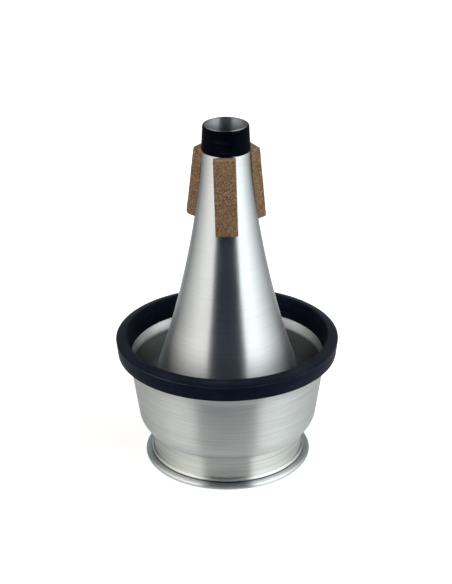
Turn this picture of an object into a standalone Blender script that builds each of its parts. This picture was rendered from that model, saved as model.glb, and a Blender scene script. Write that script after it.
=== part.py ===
"""Trumpet cup mute.

A spun aluminium cone, closed at its wide end by a cap folded round the cone's flange, carries three
cork strips and a throat collar. A spun cup with a rubber rim slides and turns on the cone's base.
Sizes are in metres. The mute stands on its base at the origin, with its axis along +Z and its
front cork strip facing -Y.
"""
import math

import bmesh
import bpy
from mathutils import Matrix

# Whole mute
HEIGHT = 0.1908
CLEARANCE = 0.0003
SEGMENTS = 48

# Cone: sheet, hemmed throat, flare, shoulder and base cylinder
CONE_SHEET = 0.0004
THROAT_RADIUS = 0.0105
HEM_DEPTH = 0.0075
NECK_RADIUS = 0.01269
NECK_STRAIGHT = 0.0154
FLARE_LEAN = math.radians(19.0)
FLARE_REACH = 0.0483
FLARE_STEPS = 9
SHOULDER_RADIUS = 0.0403
SHOULDER_HEIGHT = 0.046
CYLINDER_RADIUS = 0.0382
FLANGE_BEND = 0.0012

# Throat collar
COLLAR_LENGTH = 0.0133
COLLAR_WALL = 0.0005
COLLAR_PROUD = 0.0001
COLLAR_ROUND = 0.0009
LIP_STAND = 0.0003

# Base cap, folded round the cone's flange
CAP_SHEET = 0.0008
SEAM_RADIUS = 0.0452
SEAM_WIDTH = 0.0046
RECESS_WALL = 0.0006
RECESS_BEND = 0.0012

# Cup: sheet, rolled bead, neck and bowl
CUP_SHEET = 0.0008
NECK_WALL_RADIUS = 0.0406
BEAD_BORE = 0.00025
BEAD_END = math.radians(60.0)
CREASE_HEIGHT = 0.017
CREASE_BEND = 0.0008
BOWL_CORNER = 0.0131
BOWL_LEAN = math.radians(8.25)
LIP_LEAN = math.radians(20.0)
LIP_LENGTH = 0.0095
LIP_BEND = 0.0004

# Grip ring between the cup's neck and the cone's base cylinder
GRIP_LENGTH = 0.010
GRIP_MARGIN = 0.002
GRIP_ROUND = 0.0003

# Rubber rim, which overhangs the cup's lip and stands above it
RIM_RADIUS = 0.0600
RIM_HEIGHT = 0.0724
RIM_WIDTH = 0.0057
RIM_OVERHANG = 0.00408
RIM_STAND = 0.0079
RIM_FALL = 0.0017
RIM_CROWN = 0.0003
RIM_SKIRT = 0.0032
RIM_UNDERCUT = 0.0011
RIM_LEG = 0.0040
RIM_LEG_WALL = 0.0014
RIM_ROUND = 0.0010

# Cork strips
CORK_WIDTH = 0.0116
CORK_LENGTH = 0.0402
CORK_TOP_WALL = 0.0042
CORK_BOTTOM_WALL = 0.0047
CORK_BLOCK = 0.0095
CORK_TURN = math.radians(1.7)
CORK_BEVEL = 0.0006
CORK_AZIMUTHS = {
    "cork_strip_front": math.radians(-1.0),
    "cork_strip_right": math.radians(121.0),
    "cork_strip_left": math.radians(-124.5),
}
CORK_TRIMS = {"cork_strip_front": 0.0, "cork_strip_right": 0.0, "cork_strip_left": 0.0015}

# Heights and radii that follow from the sizes above
FLANGE_TOP = CAP_SHEET + CLEARANCE + CONE_SHEET
SEAM_TOP = FLANGE_TOP + CLEARANCE + CAP_SHEET
FOLD_RADIUS = SEAM_RADIUS - SEAM_TOP / 2
BEND_CENTRE = (CYLINDER_RADIUS + FLANGE_BEND, FLANGE_TOP + FLANGE_BEND)
CUP_SEAT = SEAM_TOP + CLEARANCE
RIM_MOUTH_RADIUS = RIM_RADIUS - RIM_WIDTH
LIP_RADIUS = RIM_RADIUS - RIM_OVERHANG
LIP_HEIGHT = RIM_HEIGHT - RIM_STAND
LIP_FOOT_RADIUS = LIP_RADIUS - LIP_LENGTH * math.tan(LIP_LEAN)
LIP_FOOT_HEIGHT = LIP_HEIGHT - LIP_LENGTH
LIP_LEVEL = HEIGHT - CONE_SHEET
COLLAR_TOP = HEIGHT - LIP_STAND
COLLAR_BOTTOM = COLLAR_TOP - COLLAR_LENGTH
SEAT_LEVEL = COLLAR_BOTTOM - CLEARANCE
SEAT_TOP_RADIUS = THROAT_RADIUS + 2 * CONE_SHEET
SEAT_BOTTOM_RADIUS = NECK_RADIUS + COLLAR_PROUD - COLLAR_WALL - CLEARANCE

QUARTER = math.pi / 2
ARC_STEP = math.radians(45.0)
CORNER_STEP = math.radians(18.0)


def arc(centre, radius, start, end, step=ARC_STEP):
    """Points round a centre from one angle to another, both ends included."""
    count = max(2, math.ceil(abs(end - start) / step - 1e-6))
    points = []
    for i in range(count + 1):
        angle = start + (end - start) * i / count
        points.append((centre[0] + radius * math.cos(angle), centre[1] + radius * math.sin(angle)))
    return points


def cubic(start, start_handle, end_handle, end, count):
    """Points along a cubic curve, both ends included."""
    points = []
    for i in range(count + 1):
        t = i / count
        weights = ((1 - t) ** 3, 3 * t * (1 - t) ** 2, 3 * t * t * (1 - t), t ** 3)
        controls = (start, start_handle, end_handle, end)
        points.append(tuple(sum(w * c[k] for w, c in zip(weights, controls)) for k in range(2)))
    return points


def bend_middle(start, corner, end):
    """Middle point of a bend from start to end that is drawn towards the corner."""
    return tuple((a + 2 * b + c) / 4 for a, b, c in zip(start, corner, end))


def shifted(path, distance):
    """The path moved by a distance to the right of its direction, mitred at its corners."""
    points = []
    for i, point in enumerate(path):
        before = path[max(i - 1, 0)]
        after = path[min(i + 1, len(path) - 1)]
        normals = []
        for a, b in ((before, point), (point, after)):
            length = math.dist(a, b)
            if length > 0:
                normals.append(((b[1] - a[1]) / length, (a[0] - b[0]) / length))
        first, last = normals[0], normals[-1]
        scale = distance / (1 + first[0] * last[0] + first[1] * last[1])
        points.append((point[0] + (first[0] + last[0]) * scale, point[1] + (first[1] + last[1]) * scale))
    return points


def rounded(corners):
    """A closed outline from corners (radius, height, rounding), with arcs at the rounded ones."""
    outline = []
    for i, (r, z, rounding) in enumerate(corners):
        if rounding == 0:
            outline.append((r, z))
            continue
        arms = []
        for other in (corners[i - 1], corners[(i + 1) % len(corners)]):
            length = math.dist((r, z), other[:2])
            arms.append(((other[0] - r) / length, (other[1] - z) / length, length))
        (ux, uz, ulen), (vx, vz, vlen) = arms
        half = math.acos(ux * vx + uz * vz) / 2
        reach = min(rounding / math.tan(half), 0.45 * ulen, 0.45 * vlen)
        radius = reach * math.tan(half)
        to_centre = radius / math.sin(half) / math.hypot(ux + vx, uz + vz)
        centre = (r + (ux + vx) * to_centre, z + (uz + vz) * to_centre)
        start = math.atan2(z + uz * reach - centre[1], r + ux * reach - centre[0])
        end = math.atan2(z + vz * reach - centre[1], r + vx * reach - centre[0])
        turn = (end - start + math.pi) % (2 * math.pi) - math.pi
        outline += arc(centre, radius, start, start + turn)
    return outline


def seat_radius(height):
    """Radius of the cone's collar seat at a height."""
    share = (LIP_LEVEL - height) / (LIP_LEVEL - SEAT_LEVEL)
    return SEAT_TOP_RADIUS + share * (SEAT_BOTTOM_RADIUS - SEAT_TOP_RADIUS)


def cone_face():
    """The cone's outer face, from the lip down to the edge of its flange."""
    neck_level = SEAT_LEVEL - (NECK_RADIUS - SEAT_BOTTOM_RADIUS)
    shoulder_centre = (CYLINDER_RADIUS - SHOULDER_RADIUS, SHOULDER_HEIGHT)
    shoulder = arc(shoulder_centre, SHOULDER_RADIUS, FLARE_LEAN, 0.0)
    foot = shoulder[0]
    foot_handle = (
        foot[0] - FLARE_REACH * math.sin(FLARE_LEAN),
        foot[1] + FLARE_REACH * math.cos(FLARE_LEAN),
    )
    neck_handle = (NECK_RADIUS, neck_level - NECK_STRAIGHT)
    flare = cubic((NECK_RADIUS, neck_level), neck_handle, foot_handle, foot, FLARE_STEPS)
    bend = arc(BEND_CENTRE, FLANGE_BEND, 2 * QUARTER, 3 * QUARTER)
    seat = [(SEAT_TOP_RADIUS, LIP_LEVEL), (SEAT_BOTTOM_RADIUS, SEAT_LEVEL)]
    return seat + flare + shoulder[1:] + bend + [(FOLD_RADIUS, FLANGE_TOP)]


def cone_radius(height):
    """Radius of the cone's outer face at a height between the collar and the shoulder."""
    face = cone_face()
    for upper, lower in zip(face, face[1:]):
        if lower[1] <= height <= upper[1]:
            share = (upper[1] - height) / (upper[1] - lower[1])
            return upper[0] + share * (lower[0] - upper[0])
    raise ValueError("no cone face at this height")


def cone_outline():
    """The cone's section: one sheet thick, two at the hem inside the throat."""
    outer = cone_face()
    inner = shifted(outer, CONE_SHEET)
    hem_foot = LIP_LEVEL - HEM_DEPTH
    foot_radius = seat_radius(hem_foot)
    lip = arc((THROAT_RADIUS + CONE_SHEET, LIP_LEVEL), CONE_SHEET, math.pi, 0.0)
    hem = [(foot_radius - CONE_SHEET, hem_foot), (foot_radius - 2 * CONE_SHEET, hem_foot)]
    return lip + outer[1:] + inner[:0:-1] + hem


def collar_outline():
    """The collar's section, parallel to its seat on the cone, with a round upper shoulder."""
    shoulder = []
    for across, up in arc((0.0, 0.0), 1.0, QUARTER, 0.0):
        height = COLLAR_TOP - COLLAR_ROUND * (1 - up)
        shoulder.append((seat_radius(height) + CLEARANCE + COLLAR_WALL * across, height))
    inner_bottom = seat_radius(COLLAR_BOTTOM) + CLEARANCE
    return shoulder + [(inner_bottom + COLLAR_WALL, COLLAR_BOTTOM), (inner_bottom, COLLAR_BOTTOM)]


def cap_path():
    """Middle of the cap's sheet: recessed panel, bend under the cone and fold over its flange."""
    half = CAP_SHEET / 2
    under_bend = FLANGE_BEND + CONE_SHEET + CLEARANCE + half
    wall_radius = BEND_CENTRE[0] - under_bend
    corner = (wall_radius - RECESS_BEND, BEND_CENTRE[1] + RECESS_WALL)
    fold_centre = (FOLD_RADIUS, SEAM_TOP / 2)
    path = [(0.0, corner[1] + RECESS_BEND)]
    path += arc(corner, RECESS_BEND, QUARTER, 0.0)
    path += arc(BEND_CENTRE, under_bend, 2 * QUARTER, 3 * QUARTER)
    path += arc(fold_centre, SEAM_TOP / 2 - half, -QUARTER, QUARTER)
    return path + [(SEAM_RADIUS - SEAM_WIDTH, SEAM_TOP - half)]


def wall_offset():
    """Distance of the bowl wall's outer face from the origin, square to the leaning wall."""
    return LIP_FOOT_RADIUS * math.cos(BOWL_LEAN) - LIP_FOOT_HEIGHT * math.sin(BOWL_LEAN)


def wall_radius(height, depth):
    """Radius at a height of a line that lies a depth inside the bowl wall's outer face."""
    return (wall_offset() - depth + height * math.sin(BOWL_LEAN)) / math.cos(BOWL_LEAN)


def lip_radius(height, depth):
    """Radius at a height of a line that lies a depth inside the flared lip's outer face."""
    return LIP_RADIUS - (LIP_HEIGHT - height) * math.tan(LIP_LEAN) - depth / math.cos(LIP_LEAN)


def lip_foot(depth):
    """Where the bowl wall turns into the flared lip, a depth inside the outer face."""
    gap = wall_radius(LIP_FOOT_HEIGHT, depth) - lip_radius(LIP_FOOT_HEIGHT, depth)
    height = LIP_FOOT_HEIGHT + gap / (math.tan(LIP_LEAN) - math.tan(BOWL_LEAN))
    return wall_radius(height, depth), height


def bowl_centre():
    """Centre of the bowl's round corner, which meets the crease and runs into the wall."""
    across = wall_offset() - BOWL_CORNER
    foot = (across * math.cos(BOWL_LEAN), -across * math.sin(BOWL_LEAN))
    along = (math.sin(BOWL_LEAN), math.cos(BOWL_LEAN))
    to_foot = (foot[0] - NECK_WALL_RADIUS, foot[1] - CREASE_HEIGHT)
    dot = to_foot[0] * along[0] + to_foot[1] * along[1]
    rest = to_foot[0] ** 2 + to_foot[1] ** 2 - BOWL_CORNER ** 2
    travel = -dot + math.sqrt(dot * dot - rest)
    return foot[0] + travel * along[0], foot[1] + travel * along[1]


def cup_path():
    """Middle of the cup's sheet: rolled bead, neck, crease, round corner, wall and lip."""
    half = CUP_SHEET / 2
    neck = NECK_WALL_RADIUS - half
    roll = BEAD_BORE + half
    bead = arc((neck + roll, CUP_SEAT + roll + half), roll, BEAD_END, -2 * QUARTER)
    centre = bowl_centre()
    corner_radius = BOWL_CORNER - half
    crease_angle = -math.acos((neck - centre[0]) / corner_radius)
    crease = (neck, centre[1] + corner_radius * math.sin(crease_angle))
    below = (neck, crease[1] - CREASE_BEND)
    corner_start = crease_angle + CREASE_BEND / corner_radius
    corner = arc(centre, corner_radius, corner_start, -BOWL_LEAN, CORNER_STEP)
    bend = [below, bend_middle(below, crease, corner[0])]
    foot = lip_foot(half)
    low, high = foot[1] - LIP_BEND, foot[1] + LIP_BEND
    wall_end = (wall_radius(low, half), low)
    lip_start = (lip_radius(high, half), high)
    flare = [wall_end, bend_middle(wall_end, foot, lip_start), lip_start]
    return bead + bend + corner + flare + [(lip_radius(LIP_HEIGHT, half), LIP_HEIGHT)]


def grip_outline():
    """The grip ring's section, between the cone's base cylinder and the cup's neck."""
    inner = CYLINDER_RADIUS + CLEARANCE
    outer = NECK_WALL_RADIUS - CUP_SHEET - CLEARANCE
    bottom = CUP_SEAT + GRIP_MARGIN
    top = bottom + GRIP_LENGTH
    return rounded([
        (inner, top, GRIP_ROUND),
        (outer, top, GRIP_ROUND),
        (outer, bottom, GRIP_ROUND),
        (inner, bottom, GRIP_ROUND),
    ])


def rim_outline():
    """The rubber rim's section: a crowned block with a groove that takes the cup's lip."""
    groove_top = LIP_HEIGHT + CUP_SHEET * math.sin(LIP_LEAN) + CLEARANCE
    skirt = LIP_HEIGHT - RIM_SKIRT
    leg = LIP_HEIGHT - RIM_LEG
    outside = -CLEARANCE
    inside = CUP_SHEET + CLEARANCE
    middle = (RIM_MOUTH_RADIUS + RIM_RADIUS) / 2
    leg_radius = lip_radius(leg, inside)
    return rounded([
        (RIM_MOUTH_RADIUS, RIM_HEIGHT, RIM_ROUND),
        (middle, RIM_HEIGHT - RIM_FALL / 2 + RIM_CROWN, 0),
        (RIM_RADIUS, RIM_HEIGHT - RIM_FALL, RIM_ROUND),
        (RIM_RADIUS - RIM_UNDERCUT, skirt, RIM_ROUND),
        (lip_radius(skirt, outside), skirt, 0),
        (lip_radius(groove_top, outside), groove_top, 0),
        (lip_radius(groove_top, inside), groove_top, 0),
        (leg_radius, leg, 0),
        (leg_radius - RIM_LEG_WALL, leg, RIM_LEG_WALL / 2),
    ])


def cork_room_outline():
    """Section of the solid that the cork strips' backs are cut by: the cone and its clearance."""
    top = LIP_LEVEL
    face = shifted(cone_face(), -CLEARANCE)
    wall = [point for point in face if top > point[1] > SHOULDER_HEIGHT]
    return [(0.0, top), (SEAT_TOP_RADIUS, top)] + wall + [(0.0, wall[-1][1])]


def material(name, colour, roughness, metallic=0.0):
    """A Principled material."""
    made = bpy.data.materials.new(name)
    made.use_nodes = True
    shader = made.node_tree.nodes["Principled BSDF"]
    shader.inputs["Base Color"].default_value = (*colour, 1.0)
    shader.inputs["Roughness"].default_value = roughness
    shader.inputs["Metallic"].default_value = metallic
    return made


def turned(name, points, collection, finish=None, closed=True):
    """A profile in the XZ plane, turned round the Z axis."""
    edges = [(i, i + 1) for i in range(len(points) - 1)]
    if closed:
        edges.append((len(points) - 1, 0))
    mesh = bpy.data.meshes.new(name)
    mesh.from_pydata([(r, 0.0, z) for r, z in points], edges, [])
    if finish:
        mesh.materials.append(finish)
    piece = bpy.data.objects.new(name, mesh)
    collection.objects.link(piece)
    screw = piece.modifiers.new("Turn", "SCREW")
    screw.axis = "Z"
    screw.angle = 2 * math.pi
    screw.steps = SEGMENTS
    screw.render_steps = SEGMENTS
    screw.use_merge_vertices = True
    screw.merge_threshold = 0.00001
    screw.use_smooth_shade = True
    return piece


def spun_sheet(name, path, thickness, collection, finish):
    """A sheet turned from the path along its middle."""
    piece = turned(name, path, collection, finish, closed=False)
    shell = piece.modifiers.new("Sheet", "SOLIDIFY")
    shell.thickness = thickness
    shell.offset = 0.0
    shell.use_even_offset = True
    return piece


def cork_strip(name, azimuth, room, collection, finish):
    """A cork block laid along the cone, its back cut to the cone's curve."""
    top = COLLAR_BOTTOM
    reach = CORK_LENGTH - CORK_TRIMS[name]
    bottom = top - reach
    top_face = NECK_RADIUS + CORK_TOP_WALL
    bottom_face = cone_radius(bottom) + CORK_BOTTOM_WALL
    lean = math.atan2(bottom_face - top_face, reach)
    length = reach / math.cos(lean)
    body = bmesh.new()
    bmesh.ops.create_cube(body, size=1.0)
    bmesh.ops.translate(body, vec=(-0.5, 0.0, 0.0), verts=body.verts)
    bmesh.ops.scale(body, vec=(CORK_BLOCK, CORK_WIDTH, length), verts=body.verts)
    mesh = bpy.data.meshes.new(name)
    body.to_mesh(mesh)
    body.free()
    mesh.materials.append(finish)
    strip = bpy.data.objects.new(name, mesh)
    collection.objects.link(strip)
    around = Matrix.Rotation(azimuth - QUARTER, 4, "Z")
    place = Matrix.Translation(((top_face + bottom_face) / 2, 0.0, (top + bottom) / 2))
    tilt = Matrix.Rotation(CORK_TURN, 4, "X") @ Matrix.Rotation(-lean, 4, "Y")
    strip.matrix_world = around @ place @ tilt
    edges = strip.modifiers.new("Edges", "BEVEL")
    edges.width = CORK_BEVEL
    edges.segments = 2
    back = strip.modifiers.new("Back", "BOOLEAN")
    back.operation = "DIFFERENCE"
    back.object = room
    return strip


def empty(name, collection):
    """An empty on the mute's axis, which carries the pieces of one moving body."""
    made = bpy.data.objects.new(name, None)
    made.empty_display_size = HEIGHT / 4
    collection.objects.link(made)
    return made


def main():
    for old in list(bpy.data.objects):
        bpy.data.objects.remove(old, do_unlink=True)
    parts = bpy.data.collections.new("trumpet_cup_mute")
    cutters = bpy.data.collections.new("cutters")
    bpy.context.scene.collection.children.link(parts)
    bpy.context.scene.collection.children.link(cutters)

    aluminium = material("spun_aluminium", (0.70, 0.70, 0.69), 0.28, 1.0)
    cap_aluminium = material("cap_aluminium", (0.66, 0.66, 0.66), 0.32, 1.0)
    cup_aluminium = material("cup_aluminium", (0.68, 0.68, 0.67), 0.30, 1.0)
    sleeve = material("black_sleeve", (0.010, 0.011, 0.014), 0.45)
    rubber = material("black_rubber", (0.018, 0.019, 0.024), 0.55)
    liner = material("liner_rubber", (0.03, 0.03, 0.03), 0.70)

    room = turned("cork_room", cork_room_outline(), cutters, closed=False)
    room.hide_render = True
    room.display_type = "WIRE"

    mute_body = empty("mute_body", parts)
    fixed = [
        turned("cone_shell", cone_outline(), parts, aluminium),
        turned("throat_collar", collar_outline(), parts, sleeve),
        spun_sheet("base_cap", cap_path(), CAP_SHEET, parts, cap_aluminium),
    ]
    for name, azimuth in CORK_AZIMUTHS.items():
        cork = material(name.replace("strip", "finish"), (0.27, 0.155, 0.085), 0.85)
        fixed.append(cork_strip(name, azimuth, room, parts, cork))

    cup_grip = empty("cup_grip", parts)
    grip_ring = turned("grip_ring", grip_outline(), parts, liner)

    cup = empty("cup", parts)
    loose = [
        spun_sheet("cup_shell", cup_path(), CUP_SHEET, parts, cup_aluminium),
        turned("rubber_rim", rim_outline(), parts, rubber),
    ]

    for piece in fixed:
        piece.parent = mute_body
    grip_ring.parent = cup_grip
    for piece in loose:
        piece.parent = cup


main()
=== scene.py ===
"""Looks of the trumpet cup mute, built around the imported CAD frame.

Every turned piece is lathed again from the CAD's own sizes with finer arcs, so it stays where its CAD
node is. The cork blocks are cut to the cone in the same way. Sizes are in metres.
"""
import math

import bmesh
import bpy
import numpy as np
from mathutils import Matrix, Vector, noise


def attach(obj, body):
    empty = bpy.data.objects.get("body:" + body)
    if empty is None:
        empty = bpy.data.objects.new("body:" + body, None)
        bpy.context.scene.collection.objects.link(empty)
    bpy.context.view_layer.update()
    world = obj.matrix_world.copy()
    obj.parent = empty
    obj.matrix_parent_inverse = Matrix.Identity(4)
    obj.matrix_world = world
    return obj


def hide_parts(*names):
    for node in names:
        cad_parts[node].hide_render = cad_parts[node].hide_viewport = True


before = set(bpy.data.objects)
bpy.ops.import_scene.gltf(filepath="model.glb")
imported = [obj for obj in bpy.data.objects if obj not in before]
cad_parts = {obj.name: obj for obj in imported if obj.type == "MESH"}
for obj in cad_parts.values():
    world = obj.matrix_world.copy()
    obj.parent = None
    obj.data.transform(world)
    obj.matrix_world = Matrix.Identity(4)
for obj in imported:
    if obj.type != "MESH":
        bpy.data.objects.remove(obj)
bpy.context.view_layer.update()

# Sizes of the CAD part
HEIGHT = 0.1908
CLEARANCE = 0.0003
CONE_SHEET = 0.0004
THROAT_RADIUS = 0.0105
HEM_DEPTH = 0.0075
NECK_RADIUS = 0.01269
NECK_STRAIGHT = 0.0154
FLARE_LEAN = math.radians(19.0)
FLARE_REACH = 0.0483
SHOULDER_RADIUS = 0.0403
SHOULDER_HEIGHT = 0.046
CYLINDER_RADIUS = 0.0382
FLANGE_BEND = 0.0012
COLLAR_LENGTH = 0.0133
COLLAR_WALL = 0.0005
COLLAR_PROUD = 0.0001
COLLAR_ROUND = 0.0009
LIP_STAND = 0.0003
CAP_SHEET = 0.0008
SEAM_RADIUS = 0.0452
SEAM_WIDTH = 0.0046
RECESS_WALL = 0.0006
RECESS_BEND = 0.0012
CUP_SHEET = 0.0008
NECK_WALL_RADIUS = 0.0406
BEAD_BORE = 0.00025
BEAD_END = math.radians(60.0)
CREASE_HEIGHT = 0.017
CREASE_BEND = 0.0008
BOWL_CORNER = 0.0131
BOWL_LEAN = math.radians(8.25)
LIP_LEAN = math.radians(20.0)
LIP_LENGTH = 0.0095
LIP_BEND = 0.0004
RIM_RADIUS = 0.0600
RIM_HEIGHT = 0.0724
RIM_WIDTH = 0.0057
RIM_OVERHANG = 0.00408
RIM_STAND = 0.0079
RIM_FALL = 0.0017
RIM_CROWN = 0.0003
RIM_SKIRT = 0.0032
RIM_UNDERCUT = 0.0011
RIM_LEG = 0.0040
RIM_LEG_WALL = 0.0014
RIM_ROUND = 0.0010
CORK_WIDTH = 0.0116
CORK_LENGTH = 0.0402
CORK_TOP_WALL = 0.0042
CORK_BOTTOM_WALL = 0.0047
CORK_BLOCK = 0.0095
CORK_TURN = math.radians(1.7)
CORK_AZIMUTHS = {
    "cork_strip_front": math.radians(-1.0),
    "cork_strip_right": math.radians(121.0),
    "cork_strip_left": math.radians(-124.5),
}
CORK_TRIMS = {"cork_strip_front": 0.0, "cork_strip_right": 0.0, "cork_strip_left": 0.0015}

FLANGE_TOP = CAP_SHEET + CLEARANCE + CONE_SHEET
SEAM_TOP = FLANGE_TOP + CLEARANCE + CAP_SHEET
FOLD_RADIUS = SEAM_RADIUS - SEAM_TOP / 2
BEND_CENTRE = (CYLINDER_RADIUS + FLANGE_BEND, FLANGE_TOP + FLANGE_BEND)
CUP_SEAT = SEAM_TOP + CLEARANCE
BEAD_RADIUS = NECK_WALL_RADIUS + BEAD_BORE + CUP_SHEET
RIM_MOUTH_RADIUS = RIM_RADIUS - RIM_WIDTH
LIP_RADIUS = RIM_RADIUS - RIM_OVERHANG
LIP_HEIGHT = RIM_HEIGHT - RIM_STAND
LIP_FOOT_RADIUS = LIP_RADIUS - LIP_LENGTH * math.tan(LIP_LEAN)
LIP_FOOT_HEIGHT = LIP_HEIGHT - LIP_LENGTH
LIP_LEVEL = HEIGHT - CONE_SHEET
COLLAR_TOP = HEIGHT - LIP_STAND
COLLAR_BOTTOM = COLLAR_TOP - COLLAR_LENGTH
SEAT_LEVEL = COLLAR_BOTTOM - CLEARANCE
SEAT_TOP_RADIUS = THROAT_RADIUS + 2 * CONE_SHEET
SEAT_BOTTOM_RADIUS = NECK_RADIUS + COLLAR_PROUD - COLLAR_WALL - CLEARANCE
QUARTER = math.pi / 2

# How finely the pieces are made, and the limits of their roundings and sharp edges
SEGMENTS = 288
FLARE_STEPS = 72
LIP_BEND_STEPS = 8
CREASE_STEPS = 7
ARC_STEP = math.radians(6.0)
ROUND_STEP = 2 * ARC_STEP
SHOULDER_STEP = math.radians(1.0)
CORNER_STEP = math.radians(2.0)
COLLAR_STEP = math.radians(10.0)
LIP_STEP = math.radians(15.0)
EDGE_STEP = math.radians(20.0)
HEM_STEP = math.radians(30.0)
STEP_SLACK = 1e-6
LONGEST_ROUND = 0.45
ON_AXIS = 1e-9
SHARP_METAL = math.radians(35.0)
SHARP_CORK = math.radians(50.0)

# The cork blocks: the grid of their faces, the part of the cone under them and the wear outside
CORK_EDGE = 0.0005
CORK_END_ROUNDS = {"cork_strip_front": 0.0007, "cork_strip_right": 0.0012, "cork_strip_left": 0.0018}
CORK_EDGE_STEPS = 5
CORK_ROWS = 17
CORK_COLUMNS = 57
CONE_UNDER_CORK = slice(1, 40)
CORK_GAP = CLEARANCE * 1.03
CORK_PROUD = 0.002
HALVINGS = 30
WEAR_SCALE = 300.0
WEAR_SHIFT = 3.1
WEAR_COARSE = 0.00010
WEAR_FINE = 0.00005
WEAR_FINE_SCALE = 3.0
CHIP_DEPTH = 0.00018
CHIP_SCALE = 2.2
CHIP_START = 0.1
FIRST_SEED = 11.0
SEED_STEP = 17.0

# Noises round the axis: lines per metre square to the rings and along them, detail, roughness, offset
BROAD_MARKS = (260.0, 7.0, 3.0, 0.5, 0.0)
LINE_MARKS = (1500.0, 16.0, 3.0, 0.65, 3.0)
HAIR_MARKS = (6500.0, 40.0, 2.0, 0.7, 7.0)
MOULD_RINGS = (900.0, 22.0, 3.0, 0.6, 0.0)
SCUFFS = (2600.0, 45.0, 2.0, 0.6, 5.0)
RUB_STROKES = (300.0, 42.0, 4.0, 0.65, 9.0)

# Solid noises: scale, detail, roughness
SMUDGE = (38.0, 4.0, 0.6)
CLOUD = (60.0, 5.0, 0.6)
CORK_MOTTLE = (1650.0, 4.0, 0.7)
CORK_PATCH = (260.0, 3.0, 0.6)
CORK_SPECK = (2100.0, 2.0, 0.6)
GRAIN_DETAIL = (3.0, 0.6)
NOISE_SPAN = (0.30, 0.70)

# Metal: a finish is the roughness outside, the roughness inside and the strength of the lathe marks
CONE_FINISH = (0.40, 0.50, 0.06)
CAP_FINISH = (0.38, 0.38, 0.07)
CUP_FINISH = (0.36, 0.30, 0.12)
THROAT_METAL = 0.88
LINE_SHARE = 0.8
BROAD_SHARE = 0.25
HAIR_SHARE = 1.3
LINE_ROUGH = 0.03
SMUDGE_LIGHT = (0.25, 0.75, 0.985, 1.015)
SMUDGE_ROUGH = (0.30, 0.75, -0.012, 0.016)
METAL_BUMP = (0.25, 0.00002)
BUMP_LINES = 0.7
BUMP_HAIR = 0.3
ANISOTROPY = 1.0
ANISOTROPY_TURN = 0.25
FACING_SPAN = (-0.1, 0.1)

# Metal: tones, painted shade and light that multiply them, and the heights between which they change
CONE_TONE = (0.595, 0.620, 0.625, 1.0)
# Painted shade: the throat's inner faces get a darker tone, darker still further in
THROAT_SHADED_TONE = (0.340, 0.370, 0.385)
THROAT_RISE = (LIP_LEVEL - 0.0070, LIP_LEVEL - 0.0022)
THROAT_SHADE = 0.50
THROAT_DULL = 0.26
LIP_TONE = (0.270, 0.285, 0.290, 1.0)
LIP_RISE = (LIP_LEVEL - 0.0003, LIP_LEVEL)
LIP_DULL = 0.12
# Painted shade: the cone is darker low down, where it stands in the cup's bowl
CONE_FOOT_SHADE_RISE = (0.062, 0.0765)
CONE_FOOT_SHADE = 0.76
CONE_MARKS_RISE = (0.095, 0.135)
CONE_MARKS_TOP = 0.55
CAP_TONE = (0.560, 0.590, 0.595)
# Painted shade: darker in the gap round the cup's bead, on the cap and at the bead's foot
GAP_SHADE_REACH = (BEAD_RADIUS, BEAD_RADIUS + 0.0003)
GAP_SHADE_RISE = (CUP_SEAT + 0.0003, CUP_SEAT + 0.0008)
GAP_SHADE = 0.42
CUP_TONE = (0.558, 0.584, 0.576, 1.0)
NECK_TONE = (0.555, 0.576, 0.552, 1.0)
NECK_MARKS = 1.5
# Painted shade: the bowl's inner faces below the lip get a dark tone, less of it at the bowl's floor
BOWL_SHADE_TONE = (0.185, 0.205, 0.200, 1.0)
BOWL_RISE = (LIP_FOOT_HEIGHT - 0.0013, LIP_FOOT_HEIGHT)
BOWL_FLOOR_RISE = (0.030, 0.042)
BOWL_FLOOR_SHADE = 0.15
CREASE_RISE = (CREASE_HEIGHT - 0.0004, CREASE_HEIGHT)
# Painted shade: the bowl's lower corner is darker just over the crease
CORNER_RISE = (CREASE_HEIGHT, CREASE_HEIGHT + 0.0045)
CORNER_SHADE = 0.74
# Painted light: the rolled bead is lighter above its shaded foot, and the groove over it lighter too
BEAD_TOP = CUP_SEAT + 0.0019
BEAD_RISE = (BEAD_TOP, BEAD_TOP + 0.0003)
BEAD_LIGHT = 1.22
BEAD_DULL = 0.10
GROOVE_RISE = (CUP_SEAT + 0.0021, CUP_SEAT + 0.0030)
GROOVE_LIGHT = 1.28

# Rubber: a finish is the tone, the roughness, the specular level and the scale of the grain
SLEEVE_FINISH = ((0.0006, 0.0008, 0.0022, 1.0), 0.50, 0.03, 2500.0)
RIM_FINISH = ((0.0022, 0.0038, 0.0102, 1.0), 0.50, 0.075, 2200.0)
LINER_FINISH = ((0.012, 0.012, 0.013, 1.0), 0.70, 0.30, 1800.0)
RUBBER_TINT = (0.38, 0.62, 1.0, 1.0)
RUBBER_ROUGH = 0.06
RING_ROUGH = 0.05
RUBBER_BUMP = (0.5, 0.00005)
BUMP_GRAIN = 0.5
BUMP_RINGS = 0.5
SCUFF_SPAN = (0.27, 0.42)
SCUFF_GAIN = 2.5
SCUFF_LIFT = 0.006
DUST_TONE = (0.0115, 0.0140, 0.0185, 1.0)
DUST_FACING = (0.6, 0.95, 0.0, 1.0)
DUST_PATCHES = (0.3, 0.7, 0.3, 1.0)
DUST_RINGS = (0.35, 0.65, 0.3, 1.6)

# The rim's rubbed edge: its height, width and radii, and the x between which it shows most
RUB_TONE = (0.070, 0.074, 0.078, 1.0)
RUB_HEIGHT = RIM_HEIGHT - 0.0025
RUB_WIDTH = 0.0004
RUB_REACH = (RIM_RADIUS - RIM_WIDTH / 2, RIM_RADIUS - RIM_ROUND)
RUB_START = (-0.0450, -0.0400)
RUB_END = (-0.0225, -0.0195)
RUB_REST = 0.25
RUB_BREAKS = (0.36, 0.56, 0.2, 1.0)

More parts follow.
